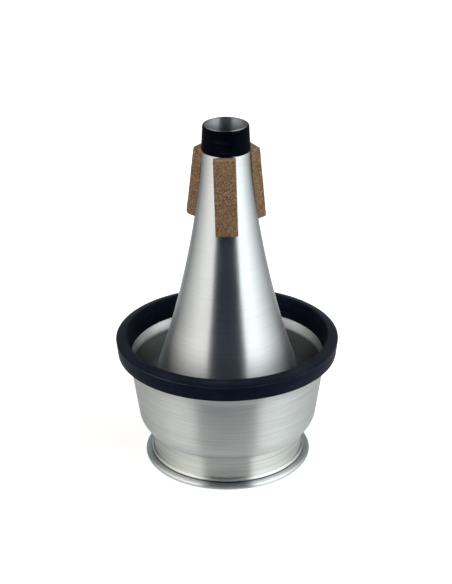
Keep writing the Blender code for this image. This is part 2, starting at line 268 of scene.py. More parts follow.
# Cork: granule tones from dark to light, and the ranges that its noises and faces are mapped by
CORK_TONES = (
    (0.00, (0.071, 0.036, 0.016)),
    (0.22, (0.122, 0.066, 0.031)),
    (0.60, (0.166, 0.097, 0.048)),
    (1.00, (0.226, 0.146, 0.081)),
)
CORK_PALE = (0.270, 0.182, 0.106, 1.0)
# Painted light: cork faces that look up, such as the top ends, are made paler
CORK_LIT_TOP = (0.330, 0.235, 0.150, 1.0)
CORK_SKIN = (0.070, 0.040, 0.020, 1.0)
CORK_PIT = (0.030, 0.017, 0.010, 1.0)
GRANULE_SCALE = 1450.0
WOBBLE_SCALE = 900.0
WOBBLE_DETAIL = 2.0
WOBBLE_REACH = 0.0006
PALE_SPAN = (0.42, 0.70, 0.0, 0.45)
SKIN_SPAN = (0.0, 0.09, 0.45, 0.0)
LIT_TOP_SPAN = (0.55, 0.9, 0.0, 0.6)
PIT_SPAN = (0.565, 0.610, 0.0, 0.95)
PATCH_SWING = 0.12
# Painted light: the strips to the left and right are made lighter, the left one most
LEFT_LIGHT_SPAN = (-0.0095, -0.0070, 1.24, 1.0)
RIGHT_LIGHT_SPAN = (0.0070, 0.0095, 1.0, 1.14)
ASIDE_SPAN = (0.0070, 0.0095, 0.0, 1.0)
UNEVEN_SPAN = (0.40, 0.60, 0.42, -0.42)
CORK_ROUGH = (0.3, 0.7, 0.78, 0.95)
CORK_GLOSS = 0.3
CORK_BUMP = (0.7, 0.00012)
BUMP_MOTTLE = 0.6
BUMP_PITS = -0.7
BUMP_SKIN = 0.4

# Studio: a softbox is its far edge's angle, tint, strength, the angle where it starts to fade and its
# share of strength at the far edge
WHITE = (1.0, 1.0, 1.0, 1.0)
FLOOR_TONE = (0.80, 0.80, 0.80, 1.0)
FLOOR_ROUGH = 0.9
FLOOR_SIZE = 3.0
# Painted shadow: the floor's glow seen in reflections fades out near the object
FLOOR_MIRRORED = (0.06, 0.30, 0.0, 0.40)
FLOOR_SEEN = (0.10, 0.60, 0.47, 0.75)
LEFT_BOX = (math.radians(127.0), (1.0, 0.965, 0.925, 1.0), 1.64, math.radians(62.0), 0.30)
RIGHT_BOX = (math.radians(142.0), (0.980, 1.0, 1.0, 1.0), 2.28, math.radians(65.0), 0.09)
BOX_RADIUS = 0.80
BOX_EDGE = math.radians(36.0)
BOX_BOTTOM = 0.03
BOX_TOP = 1.15
BOX_RISE = (0.12, 0.45, 1.0, 1.9)
BOX_STEPS = 24
DRAPE_FRONT = (0.005, 0.011, 0.023, 1.0)
DRAPE_BACK = (0.262, 0.276, 0.281, 1.0)
DRAPE_TURN = (BOX_EDGE, 2 * BOX_EDGE, 0.0, 1.0)
DRAPE_RISE = (0.15, 0.5, 1.0, 2.8)
DRAPE_BACK_RISE = (0.35, 0.60, 1.0, 0.72)
DRAPE_BEHIND = (math.radians(135.0), math.radians(165.0), 1.0, 2.0)
DRAPE_RADIUS = 1.30
DRAPE_TOP = 1.70
DRAPE_STEPS = 48
CEILING_REACH = 2.0
CEILING_LEVEL = 0.34
CEILING_TINT = (0.88, 0.97, 1.10, 1.0)
TABLE_TOP = ((-0.16, -0.125), (0.16, -0.125), (0.24, 0.95), (-0.24, 0.95))
CLOTH_LEVEL = 0.001
FILL = 0.30

# The photograph's frame and camera, with lengths on the picture in pixels
FRAME_HEIGHT = 584
FOCAL_LENGTH = 1721.9
CAMERA_PLACE = (-0.0004, -0.8332, 0.4860)
CAMERA_PITCH = math.radians(25.09)
CAMERA_ROLL = math.radians(0.38)
CLIP_START = 0.01
CLIP_END = 50.0


# Outlines
def arc(centre, radius, start, end, step=ARC_STEP):
    """Points round a centre from one angle to another, both ends included."""
    count = max(2, math.ceil(abs(end - start) / step - STEP_SLACK))
    points = []
    for i in range(count + 1):
        angle = start + (end - start) * i / count
        points.append((centre[0] + radius * math.cos(angle), centre[1] + radius * math.sin(angle)))
    return points


def cubic(start, start_handle, end_handle, end, count):
    """Points along a cubic curve, both ends included."""
    points = []
    for i in range(count + 1):
        t = i / count
        weights = ((1 - t) ** 3, 3 * t * (1 - t) ** 2, 3 * t * t * (1 - t), t ** 3)
        controls = (start, start_handle, end_handle, end)
        points.append(tuple(sum(w * c[k] for w, c in zip(weights, controls)) for k in range(2)))
    return points


def bent(start, corner, end, count):
    """Points of a bend from start to end that is drawn towards the corner, both ends included."""
    points = []
    for i in range(count + 1):
        t = i / count
        weights = ((1 - t) ** 2, 2 * t * (1 - t), t * t)
        points.append(tuple(sum(w * c[k] for w, c in zip(weights, (start, corner, end))) for k in range(2)))
    return points


def shifted(path, distance):
    """The path moved by a distance to the right of its direction, mitred at its corners."""
    points = []
    for i, point in enumerate(path):
        before = path[max(i - 1, 0)]
        after = path[min(i + 1, len(path) - 1)]
        normals = []
        for a, b in ((before, point), (point, after)):
            length = math.dist(a, b)
            if length > 0:
                normals.append(((b[1] - a[1]) / length, (a[0] - b[0]) / length))
        first, last = normals[0], normals[-1]
        scale = distance / (1 + first[0] * last[0] + first[1] * last[1])
        points.append((point[0] + (first[0] + last[0]) * scale, point[1] + (first[1] + last[1]) * scale))
    return points


def rounded(corners):
    """A closed outline from corners (radius, height, rounding), with arcs at the rounded ones."""
    outline = []
    for i, (r, z, rounding) in enumerate(corners):
        if rounding == 0:
            outline.append((r, z))
            continue
        arms = []
        for other in (corners[i - 1], corners[(i + 1) % len(corners)]):
            length = math.dist((r, z), other[:2])
            arms.append(((other[0] - r) / length, (other[1] - z) / length, length))
        (ux, uz, ulen), (vx, vz, vlen) = arms
        half = math.acos(ux * vx + uz * vz) / 2
        reach = min(rounding / math.tan(half), LONGEST_ROUND * ulen, LONGEST_ROUND * vlen)
        radius = reach * math.tan(half)
        to_centre = radius / math.sin(half) / math.hypot(ux + vx, uz + vz)
        centre = (r + (ux + vx) * to_centre, z + (uz + vz) * to_centre)
        start = math.atan2(z + uz * reach - centre[1], r + ux * reach - centre[0])
        end = math.atan2(z + vz * reach - centre[1], r + vx * reach - centre[0])
        turn = (end - start + math.pi) % (2 * math.pi) - math.pi
        outline += arc(centre, radius, start, start + turn, ROUND_STEP)
    return outline


def sheet_outline(path, thickness):
    """Closed outline of a sheet along the path of its middle, with rounded edges away from the axis."""
    half = thickness / 2
    right = shifted(path, half)
    left = shifted(path, -half)
    outline = list(right)
    for end, (a, b) in ((path[-1], (right[-1], left[-1])), (path[0], (left[0], right[0]))):
        if end[0] < ON_AXIS:
            outline += [b] if end is path[-1] else []
            continue
        start = math.atan2(a[1] - end[1], a[0] - end[0])
        outline += arc(end, half, start, start + math.pi, EDGE_STEP)[1:-1]
        if end is path[-1]:
            outline += left[::-1]
    return outline


def seat_radius(height):
    """Radius of the cone's collar seat at a height."""
    share = (LIP_LEVEL - height) / (LIP_LEVEL - SEAT_LEVEL)
    return SEAT_TOP_RADIUS + share * (SEAT_BOTTOM_RADIUS - SEAT_TOP_RADIUS)


def cone_face():
    """The cone's outer face, from the lip down to the edge of its flange."""
    neck_level = SEAT_LEVEL - (NECK_RADIUS - SEAT_BOTTOM_RADIUS)
    shoulder_centre = (CYLINDER_RADIUS - SHOULDER_RADIUS, SHOULDER_HEIGHT)
    shoulder = arc(shoulder_centre, SHOULDER_RADIUS, FLARE_LEAN, 0.0, SHOULDER_STEP)
    foot = shoulder[0]
    foot_handle = (
        foot[0] - FLARE_REACH * math.sin(FLARE_LEAN),
        foot[1] + FLARE_REACH * math.cos(FLARE_LEAN),
    )
    neck_handle = (NECK_RADIUS, neck_level - NECK_STRAIGHT)
    flare = cubic((NECK_RADIUS, neck_level), neck_handle, foot_handle, foot, FLARE_STEPS)
    bend = arc(BEND_CENTRE, FLANGE_BEND, 2 * QUARTER, 3 * QUARTER)
    seat = [(SEAT_TOP_RADIUS, LIP_LEVEL), (SEAT_BOTTOM_RADIUS, SEAT_LEVEL)]
    return seat + flare + shoulder[1:] + bend + [(FOLD_RADIUS, FLANGE_TOP)]


def cone_radius(height):
    """Radius of the cone's outer face at a height between the collar and the shoulder."""
    face = cone_face()
    for upper, lower in zip(face, face[1:]):
        if lower[1] <= height <= upper[1]:
            share = (upper[1] - height) / (upper[1] - lower[1])
            return upper[0] + share * (lower[0] - upper[0])
    raise ValueError("no cone face at this height")


def cone_outline():
    """The cone's section: one sheet thick, two at the hem inside the throat."""
    outer = cone_face()
    inner = shifted(outer, CONE_SHEET)
    hem_foot = LIP_LEVEL - HEM_DEPTH
    foot_radius = seat_radius(hem_foot)
    lip = arc((THROAT_RADIUS + CONE_SHEET, LIP_LEVEL), CONE_SHEET, math.pi, 0.0, LIP_STEP)
    hem = arc((foot_radius - 1.5 * CONE_SHEET, hem_foot), CONE_SHEET / 2, 0.0, -math.pi, HEM_STEP)
    return lip + outer[1:] + inner[:0:-1] + [(foot_radius - CONE_SHEET, hem_foot)] + hem[1:]


def collar_outline():
    """The collar's section, parallel to its seat on the cone, with a round upper shoulder."""
    shoulder = []
    for across, up in arc((0.0, 0.0), 1.0, QUARTER, 0.0, COLLAR_STEP):
        height = COLLAR_TOP - COLLAR_ROUND * (1 - up)
        shoulder.append((seat_radius(height) + CLEARANCE + COLLAR_WALL * across, height))
    inner_bottom = seat_radius(COLLAR_BOTTOM) + CLEARANCE
    return shoulder + [(inner_bottom + COLLAR_WALL, COLLAR_BOTTOM), (inner_bottom, COLLAR_BOTTOM)]


def cap_path():
    """Middle of the cap's sheet: recessed panel, bend under the cone and fold over its flange."""
    half = CAP_SHEET / 2
    under_bend = FLANGE_BEND + CONE_SHEET + CLEARANCE + half
    wall_radius = BEND_CENTRE[0] - under_bend
    corner = (wall_radius - RECESS_BEND, BEND_CENTRE[1] + RECESS_WALL)
    fold_centre = (FOLD_RADIUS, SEAM_TOP / 2)
    path = [(0.0, corner[1] + RECESS_BEND)]
    path += arc(corner, RECESS_BEND, QUARTER, 0.0)
    path += arc(BEND_CENTRE, under_bend, 2 * QUARTER, 3 * QUARTER)
    path += arc(fold_centre, SEAM_TOP / 2 - half, -QUARTER, QUARTER)
    return path + [(SEAM_RADIUS - SEAM_WIDTH, SEAM_TOP - half)]


def wall_offset():
    """Distance of the bowl wall's outer face from the origin, square to the leaning wall."""
    return LIP_FOOT_RADIUS * math.cos(BOWL_LEAN) - LIP_FOOT_HEIGHT * math.sin(BOWL_LEAN)


def wall_radius(height, depth):
    """Radius at a height of a line that lies a depth inside the bowl wall's outer face."""
    return (wall_offset() - depth + height * math.sin(BOWL_LEAN)) / math.cos(BOWL_LEAN)


def lip_radius(height, depth):
    """Radius at a height of a line that lies a depth inside the flared lip's outer face."""
    return LIP_RADIUS - (LIP_HEIGHT - height) * math.tan(LIP_LEAN) - depth / math.cos(LIP_LEAN)


def lip_foot(depth):
    """Where the bowl wall turns into the flared lip, a depth inside the outer face."""
    gap = wall_radius(LIP_FOOT_HEIGHT, depth) - lip_radius(LIP_FOOT_HEIGHT, depth)
    height = LIP_FOOT_HEIGHT + gap / (math.tan(LIP_LEAN) - math.tan(BOWL_LEAN))
    return wall_radius(height, depth), height


def bowl_centre():
    """Centre of the bowl's round corner, which meets the crease and runs into the wall."""
    across = wall_offset() - BOWL_CORNER
    foot = (across * math.cos(BOWL_LEAN), -across * math.sin(BOWL_LEAN))
    along = (math.sin(BOWL_LEAN), math.cos(BOWL_LEAN))
    to_foot = (foot[0] - NECK_WALL_RADIUS, foot[1] - CREASE_HEIGHT)
    dot = to_foot[0] * along[0] + to_foot[1] * along[1]
    rest = to_foot[0] ** 2 + to_foot[1] ** 2 - BOWL_CORNER ** 2
    travel = -dot + math.sqrt(dot * dot - rest)
    return foot[0] + travel * along[0], foot[1] + travel * along[1]


def cup_path():
    """Middle of the cup's sheet: rolled bead, neck, crease, round corner, wall and lip."""
    half = CUP_SHEET / 2
    neck = NECK_WALL_RADIUS - half
    roll = BEAD_BORE + half
    bead = arc((neck + roll, CUP_SEAT + roll + half), roll, BEAD_END, -2 * QUARTER)
    centre = bowl_centre()
    corner_radius = BOWL_CORNER - half
    crease_angle = -math.acos((neck - centre[0]) / corner_radius)
    crease = (neck, centre[1] + corner_radius * math.sin(crease_angle))
    below = (neck, crease[1] - CREASE_BEND)
    corner_start = crease_angle + CREASE_BEND / corner_radius
    corner = arc(centre, corner_radius, corner_start, -BOWL_LEAN, CORNER_STEP)
    foot = lip_foot(half)
    low, high = foot[1] - LIP_BEND, foot[1] + LIP_BEND
    flare = bent((wall_radius(low, half), low), foot, (lip_radius(high, half), high), LIP_BEND_STEPS)
    lip = (lip_radius(LIP_HEIGHT, half), LIP_HEIGHT)
    return bead + bent(below, crease, corner[0], CREASE_STEPS)[:-1] + corner + flare + [lip]


def rim_outline():
    """The rubber rim's section: a crowned block with a groove that takes the cup's lip."""
    groove_top = LIP_HEIGHT + CUP_SHEET * math.sin(LIP_LEAN) + CLEARANCE
    skirt = LIP_HEIGHT - RIM_SKIRT
    leg = LIP_HEIGHT - RIM_LEG
    outside = -CLEARANCE
    inside = CUP_SHEET + CLEARANCE
    middle = (RIM_MOUTH_RADIUS + RIM_RADIUS) / 2
    leg_radius = lip_radius(leg, inside)
    return rounded([
        (RIM_MOUTH_RADIUS, RIM_HEIGHT, RIM_ROUND),
        (middle, RIM_HEIGHT - RIM_FALL / 2 + RIM_CROWN, 0),
        (RIM_RADIUS, RIM_HEIGHT - RIM_FALL, RIM_ROUND),
        (RIM_RADIUS - RIM_UNDERCUT, skirt, RIM_ROUND),
        (lip_radius(skirt, outside), skirt, 0),
        (lip_radius(groove_top, outside), groove_top, 0),
        (lip_radius(groove_top, inside), groove_top, 0),
        (leg_radius, leg, 0),
        (leg_radius - RIM_LEG_WALL, leg, RIM_LEG_WALL / 2),
    ])


# Meshes
def link(obj):
    """Puts an object in the scene."""
    bpy.context.scene.collection.objects.link(obj)
    return obj


def smooth_object(body, name, finish, sharp, matrix):
    """A bmesh moved by a matrix and made into an object, smooth but for edges over an angle."""
    bmesh.ops.recalc_face_normals(body, faces=body.faces)
    mesh = bpy.data.meshes.new(name)
    body.to_mesh(mesh)
    body.free()
    mesh.transform(matrix)
    for polygon in mesh.polygons:
        polygon.use_smooth = True
    mesh.set_sharp_from_angle(angle=sharp)
    mesh.materials.append(finish)
    return link(bpy.data.objects.new(name, mesh))


def lathe(name, outline, finish):
    """A closed outline (radius, height) turned round Z, as a smooth closed mesh."""
    body = bmesh.new()
    rings = []
    for r, z in outline:
        if r < ON_AXIS:
            rings.append([body.verts.new((0.0, 0.0, z))] * SEGMENTS)
            continue
        ring = []
        for k in range(SEGMENTS):
            angle = 2 * math.pi * k / SEGMENTS
            ring.append(body.verts.new((r * math.cos(angle), r * math.sin(angle), z)))
        rings.append(ring)
    for i, ring in enumerate(rings):
        after = rings[(i + 1) % len(rings)]
        if ring[0] is ring[1] and after[0] is after[1]:
            continue
        for k in range(SEGMENTS):
            j = (k + 1) % SEGMENTS
            corners = []
            for vert in (ring[k], ring[j], after[j], after[k]):
                if vert not in corners:
                    corners.append(vert)
            body.faces.new(corners)
    return smooth_object(body, name, finish, SHARP_METAL, Matrix())


# Shader nodes
def add(tree, kind, inputs=(), **settings):
    """A shader node with its settings, and its inputs given as values or as sockets to link from."""
    made = tree.nodes.new(kind)
    for key, value in settings.items():
        setattr(made, key, value)
    for key, value in dict(inputs).items():
        if isinstance(value, bpy.types.NodeSocket):
            tree.links.new(value, made.inputs[key])
        else:
            made.inputs[key].default_value = value
    return made


def maths(tree, operation, *values):
    """The result of a math operation on one to three values."""
    return add(tree, "ShaderNodeMath", dict(enumerate(values)), operation=operation).outputs[0]


def product(tree, *values):
    """The product of two or more values."""
    result = values[0]
    for value in values[1:]:
        result = maths(tree, "MULTIPLY", result, value)
    return result


def mapped(tree, value, low, high, new_low, new_high):
    """A value moved from one range to another and held there."""
    inputs = {"Value": value, "From Min": low, "From Max": high, "To Min": new_low, "To Max": new_high}
    return add(tree, "ShaderNodeMapRange", inputs, clamp=True).outputs["Result"]


def swung(tree, value, middle, reach):
    """A noise made into a value that swings by a reach to both sides of a middle."""
    return mapped(tree, value, *NOISE_SPAN, middle - reach, middle + reach)


def mixed(tree, share, a, b):
    """A first colour mixed with a share of a second."""
    return add(tree, "ShaderNodeMix", {0: share, 6: a, 7: b}, data_type="RGBA").outputs[2]


def scaled(tree, colour, share):
    """A colour or vector times a value."""
    return add(tree, "ShaderNodeVectorMath", {0: colour, "Scale": share}, operation="SCALE").outputs[0]


def two_added(tree, a, a_share, b, b_share):
    """The sum of two values, each times a share."""
    return maths(tree, "ADD", maths(tree, "MULTIPLY", a, a_share), maths(tree, "MULTIPLY", b, b_share))


def object_place(tree):
    """A point in the object's own frame, which is the world's at rest."""
    return add(tree, "ShaderNodeTexCoord").outputs["Object"]


def split(tree, vector):
    """A vector's x, y and z."""
    return add(tree, "ShaderNodeSeparateXYZ", {0: vector}).outputs


def height_of(tree):
    """A point's height."""
    return split(tree, object_place(tree))[2]


def facing_up(tree):
    """The upward part of the surface's normal."""
    return split(tree, add(tree, "ShaderNodeTexCoord").outputs["Normal"])[2]


def place_round(tree):
    """A point's x, y and height, and its distance from the Z axis."""
    x, y, z = split(tree, object_place(tree))
    flat = add(tree, "ShaderNodeCombineXYZ", {0: x, 1: y}).outputs[0]
    radius = add(tree, "ShaderNodeVectorMath", {0: flat}, operation="LENGTH").outputs["Value"]
    return x, y, z, radius


def ring_noise(tree, across, along, detail, roughness, offset):
    """Noise drawn out round the Z axis: across lines per metre square to the rings, along round them."""
    x, y, z, radius = place_round(tree)
    spot = add(tree, "ShaderNodeCombineXYZ", {
        0: maths(tree, "MULTIPLY", radius, across),
        1: maths(tree, "MULTIPLY", z, across),
        2: maths(tree, "MULTIPLY_ADD", x, along, offset),
    })
    inputs = {
        "Vector": spot.outputs[0],
        "W": maths(tree, "MULTIPLY", y, along),
        "Scale": 1.0,
        "Detail": detail,
        "Roughness": roughness,
    }
    return add(tree, "ShaderNodeTexNoise", inputs, noise_dimensions="4D").outputs["Fac"]


def solid_noise(tree, scale, detail, roughness):
    """Noise that is the same in every direction."""
    inputs = {"Vector": object_place(tree), "Scale": scale, "Detail": detail, "Roughness": roughness}
    return add(tree, "ShaderNodeTexNoise", inputs).outputs["Fac"]


def faces_in(tree):
    """1 on faces that look towards the Z axis, 0 on faces that look away from it."""
    place = add(tree, "ShaderNodeTexCoord")
    x, y, _ = split(tree, place.outputs["Object"])
    flat = add(tree, "ShaderNodeCombineXYZ", {0: x, 1: y}).outputs[0]
    out = add(tree, "ShaderNodeVectorMath", {0: flat}, operation="NORMALIZE").outputs[0]
    facing = add(tree, "ShaderNodeVectorMath", {0: out, 1: place.outputs["Normal"]}, operation="DOT_PRODUCT")
    return mapped(tree, facing.outputs["Value"], *FACING_SPAN, 1.0, 0.0)


def material(name):
    """A material with its node tree and its shader."""
    made = bpy.data.materials.new(name)
    made.use_nodes = True
    return made, made.node_tree, made.node_tree.nodes["Principled BSDF"]


def bump(tree, shader, height, strength, distance):
    """Gives the shader a bump from a height."""
    made = add(tree, "ShaderNodeBump", {"Height": height, "Strength": strength, "Distance": distance})
    tree.links.new(made.outputs[0], shader.inputs["Normal"])


# Metal
def spun_metal(name, colour, roughness, inside, streaks, dulled=None, fade=None, metal_inside=1.0):
    """Aluminium with fine lathe marks round the axis, which draw its highlights out along the axis.

    Its colour comes from a function of the node tree, and its inner faces have a roughness of their own.
    A second function may give the roughness that single places have on top of that, and a third the
    share of the lathe marks that shows there. Inner faces may be dulled by a little less metal.
    """
    made, tree, shader = material(name)
    broad = ring_noise(tree, *BROAD_MARKS)
    lines = ring_noise(tree, *LINE_MARKS)
    hair = ring_noise(tree, *HAIR_MARKS)
    smudge = solid_noise(tree, *SMUDGE)
    light = product(
        tree,
        swung(tree, lines, 1.0, streaks * LINE_SHARE),
        swung(tree, broad, 1.0, streaks * BROAD_SHARE),
        swung(tree, hair, 1.0, streaks * HAIR_SHARE),
        mapped(tree, smudge, *SMUDGE_LIGHT),
    )
    if fade:
        light = maths(tree, "MULTIPLY_ADD", maths(tree, "SUBTRACT", light, 1.0), fade(tree), 1.0)
    tree.links.new(scaled(tree, colour(tree), light), shader.inputs["Base Color"])
    rough = mapped(tree, faces_in(tree), 0.0, 1.0, roughness, inside)
    if dulled:
        rough = maths(tree, "ADD", rough, dulled(tree))
    rough = maths(tree, "ADD", rough, swung(tree, lines, 0.0, LINE_ROUGH))
    rough = maths(tree, "ADD", rough, mapped(tree, smudge, *SMUDGE_ROUGH))
    tree.links.new(rough, shader.inputs["Roughness"])
    if metal_inside < 1.0:
        metal = mapped(tree, faces_in(tree), 0.0, 1.0, 1.0, metal_inside)
        tree.links.new(metal, shader.inputs["Metallic"])
    else:
        shader.inputs["Metallic"].default_value = 1.0
    shader.inputs["Anisotropic"].default_value = ANISOTROPY
    shader.inputs["Anisotropic Rotation"].default_value = ANISOTROPY_TURN
    tangent = add(tree, "ShaderNodeTangent", direction_type="RADIAL", axis="Z")
    tree.links.new(tangent.outputs[0], shader.inputs["Tangent"])
    bump(tree, shader, two_added(tree, lines, BUMP_LINES, hair, BUMP_HAIR), *METAL_BUMP)
    return made


def cone_colour(tree):
    """Aluminium, duller on its lip, with painted shade inside the throat, deeper further in, and low down
    where it stands in the bowl.
    """
    z = height_of(tree)
    # Painted shade inside the throat, deepening further in
    throat = scaled(tree, THROAT_SHADED_TONE, mapped(tree, z, *THROAT_RISE, THROAT_SHADE, 1.0))
    inside = mixed(tree, faces_in(tree), CONE_TONE, throat)
    tone = mixed(tree, mapped(tree, z, *LIP_RISE, 0.0, 1.0), inside, LIP_TONE)
    # Painted shade low on the cone, inside the bowl
    return scaled(tree, tone, mapped(tree, z, *CONE_FOOT_SHADE_RISE, CONE_FOOT_SHADE, 1.0))


def cone_dulled(tree):
    """Added roughness of the cone: its lip is worn, and its throat is duller further in."""
    z = height_of(tree)
    lip = mapped(tree, z, *LIP_RISE, 0.0, LIP_DULL)
    deep = product(tree, faces_in(tree), mapped(tree, z, *THROAT_RISE, THROAT_DULL, 0.0))
    return maths(tree, "ADD", lip, deep)


def cone_marks(tree):
    """Share of the lathe marks on the cone: they are fainter towards its narrow end."""
    return mapped(tree, height_of(tree), *CONE_MARKS_RISE, 1.0, CONE_MARKS_TOP)


def cap_colour(tree):
    """Aluminium, with painted shade in the gap round the cup's bead."""
    _, _, _, radius = place_round(tree)
    return scaled(tree, CAP_TONE, mapped(tree, radius, *GAP_SHADE_REACH, GAP_SHADE, 1.0))


def cup_colour(tree):
    """Aluminium, of another tone on its neck, with painted shade and painted light.

    It has a dark painted shade in the bowl below its lip and less so at its floor, painted shade over
    its crease and under its bead, and painted light on the bead and in the groove over it.
    """
    z = height_of(tree)
    neck = mapped(tree, z, *CREASE_RISE, 1.0, 0.0)
    below_lip = mapped(tree, z, *BOWL_RISE, 1.0, 0.0)
    # Painted shade inside the bowl, less at its floor
    bowl_shade = product(tree, below_lip, mapped(tree, z, *BOWL_FLOOR_RISE, BOWL_FLOOR_SHADE, 1.0))
    outside = mixed(tree, neck, CUP_TONE, NECK_TONE)
    tone = mixed(tree, product(tree, faces_in(tree), bowl_shade), outside, BOWL_SHADE_TONE)
    # Painted shade over the crease
    corner = maths(tree, "MAXIMUM", neck, mapped(tree, z, *CORNER_RISE, CORNER_SHADE, 1.0))
    # Painted shade at the bead's foot, painted light on the bead and in the groove over it
    bead = mapped(tree, z, *GAP_SHADE_RISE, GAP_SHADE, BEAD_LIGHT)
    groove = mapped(tree, z, *GROOVE_RISE, GROOVE_LIGHT, 1.0)
    over_bead = mapped(tree, z, *BEAD_RISE, 0.0, 1.0)
    foot = maths(tree, "MULTIPLY_ADD", over_bead, maths(tree, "SUBTRACT", groove, bead), bead)
    return scaled(tree, tone, product(tree, corner, foot))


def cup_dulled(tree):
    """Added roughness of the cup's rolled bead."""
    return mapped(tree, height_of(tree), *BEAD_RISE, BEAD_DULL, 0.0)


def cup_marks(tree):
    """Strength of the lathe marks on the cup: they are coarser on its neck."""
    return mapped(tree, height_of(tree), *CREASE_RISE, NECK_MARKS, 1.0)


# Rubber
def rubbed(tree):
    """Up to 1 where the rim's outer upper edge is rubbed pale, in broken strokes, most at the front left."""
    x, _, z, radius = place_round(tree)
    across = maths(tree, "ABSOLUTE", maths(tree, "SUBTRACT", z, RUB_HEIGHT))
    at_edge = mapped(tree, across, 0.0, RUB_WIDTH, 1.0, 0.0)
    edge = product(tree, at_edge, mapped(tree, radius, *RUB_REACH, 0.0, 1.0))
    strokes = mapped(tree, ring_noise(tree, *RUB_STROKES), *RUB_BREAKS)
    from_left = mapped(tree, x, *RUB_START, RUB_REST, 1.0)
    corner = maths(tree, "MINIMUM", from_left, mapped(tree, x, *RUB_END, 1.0, RUB_REST))
    return product(tree, strokes, corner, edge)


def rubber(name, tone, roughness, gloss, grain, wear=None):
    """Moulded black rubber: fine grain, faint rings from the mould and pale scuffs.

    Where a function of the node tree gives its wear, it is rubbed pale there and has dust on faces that
    look up.
    """
    made, tree, shader = material(name)
    fine = solid_noise(tree, grain, *GRAIN_DETAIL)
    cloud = solid_noise(tree, *CLOUD)
    rings = ring_noise(tree, *MOULD_RINGS)
    scuffs = mapped(tree, product(tree, cloud, ring_noise(tree, *SCUFFS)), *SCUFF_SPAN, 0.0, 1.0)
    pale = tuple(c * SCUFF_GAIN + SCUFF_LIFT for c in tone[:3]) + (1.0,)
    colour = mixed(tree, scuffs, tone, pale)
    if wear:
        dust = product(
            tree,
            mapped(tree, facing_up(tree), *DUST_FACING),
            mapped(tree, cloud, *DUST_PATCHES),
            mapped(tree, rings, *DUST_RINGS),
        )
        colour = mixed(tree, dust, colour, DUST_TONE)
        colour = mixed(tree, wear(tree), colour, RUB_TONE)
    tree.links.new(colour, shader.inputs["Base Color"])
    uneven = swung(tree, cloud, roughness, RUBBER_ROUGH)
    rough = maths(tree, "ADD", uneven, swung(tree, rings, 0.0, RING_ROUGH))
    tree.links.new(rough, shader.inputs["Roughness"])
    shader.inputs["Specular IOR Level"].default_value = gloss
    shader.inputs["Specular Tint"].default_value = RUBBER_TINT
    bump(tree, shader, two_added(tree, fine, BUMP_GRAIN, rings, BUMP_RINGS), *RUBBER_BUMP)
    return made


# Cork
def granules(tree, place):
    """Colour of each cork granule, and the distance from its edge, with wavy edges."""
    noise_inputs = {"Vector": place, "Scale": WOBBLE_SCALE, "Detail": WOBBLE_DETAIL}
    wobble = add(tree, "ShaderNodeTexNoise", noise_inputs).outputs["Color"]
    moved = {0: place, 1: scaled(tree, wobble, WOBBLE_REACH)}
    spot = add(tree, "ShaderNodeVectorMath", moved, operation="ADD").outputs[0]
    cells = {"Vector": spot, "Scale": GRANULE_SCALE, "Randomness": 1.0}
    grains = add(tree, "ShaderNodeTexVoronoi", cells)
    skins = add(tree, "ShaderNodeTexVoronoi", cells, feature="DISTANCE_TO_EDGE")
    pick = add(tree, "ShaderNodeSeparateColor", {0: grains.outputs["Color"]})
    ramp = add(tree, "ShaderNodeValToRGB", {0: pick.outputs[0]})
    while len(ramp.color_ramp.elements) < len(CORK_TONES):
        ramp.color_ramp.elements.new(0.5)
    for element, (position, colour) in zip(ramp.color_ramp.elements, CORK_TONES):
        element.position = position
        element.color = (*colour, 1.0)
    return ramp.outputs[0], skins.outputs["Distance"]


def cork():
    """Pressed cork: granules of differing brown with dark skins, pits and specks.

    The strips at the sides have painted light that makes them a little paler, and are more uneven than
    the one in front. Faces that look up have painted light too.
    """
    made, tree, shader = material("cork")
    place = object_place(tree)
    tone, to_edge = granules(tree, place)
    mottle = solid_noise(tree, *CORK_MOTTLE)
    patch = solid_noise(tree, *CORK_PATCH)
    pits = mapped(tree, solid_noise(tree, *CORK_SPECK), *PIT_SPAN)
    skin = mapped(tree, to_edge, *SKIN_SPAN)
    x = split(tree, place)[0]
    aside = mapped(tree, maths(tree, "ABSOLUTE", x), *ASIDE_SPAN)
    uneven = product(tree, aside, mapped(tree, mottle, *UNEVEN_SPAN))
    # Painted light on the strips at the sides, with random patches
    shade = product(
        tree,
        swung(tree, patch, 1.0, PATCH_SWING),
        mapped(tree, x, *LEFT_LIGHT_SPAN),
        mapped(tree, x, *RIGHT_LIGHT_SPAN),
        maths(tree, "ADD", uneven, 1.0),
    )
    tone = mixed(tree, mapped(tree, mottle, *PALE_SPAN), tone, CORK_PALE)
    tone = mixed(tree, skin, scaled(tree, tone, shade), CORK_SKIN)
    # Painted light on faces that look up
    tone = mixed(tree, mapped(tree, facing_up(tree), *LIT_TOP_SPAN), tone, CORK_LIT_TOP)
    tone = mixed(tree, pits, tone, CORK_PIT)
    tree.links.new(tone, shader.inputs["Base Color"])
    tree.links.new(mapped(tree, mottle, *CORK_ROUGH), shader.inputs["Roughness"])
    shader.inputs["Specular IOR Level"].default_value = CORK_GLOSS
    height = two_added(tree, mottle, BUMP_MOTTLE, pits, BUMP_PITS)
    bump(tree, shader, maths(tree, "SUBTRACT", height, product(tree, skin, BUMP_SKIN)), *CORK_BUMP)
    return made


# Turned pieces
def turned(node, body, outline, finish):
    """A lathed piece that stands for a CAD node."""
    piece = lathe(node + "_turned", outline, finish)
    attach(piece, body)
    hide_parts(node)


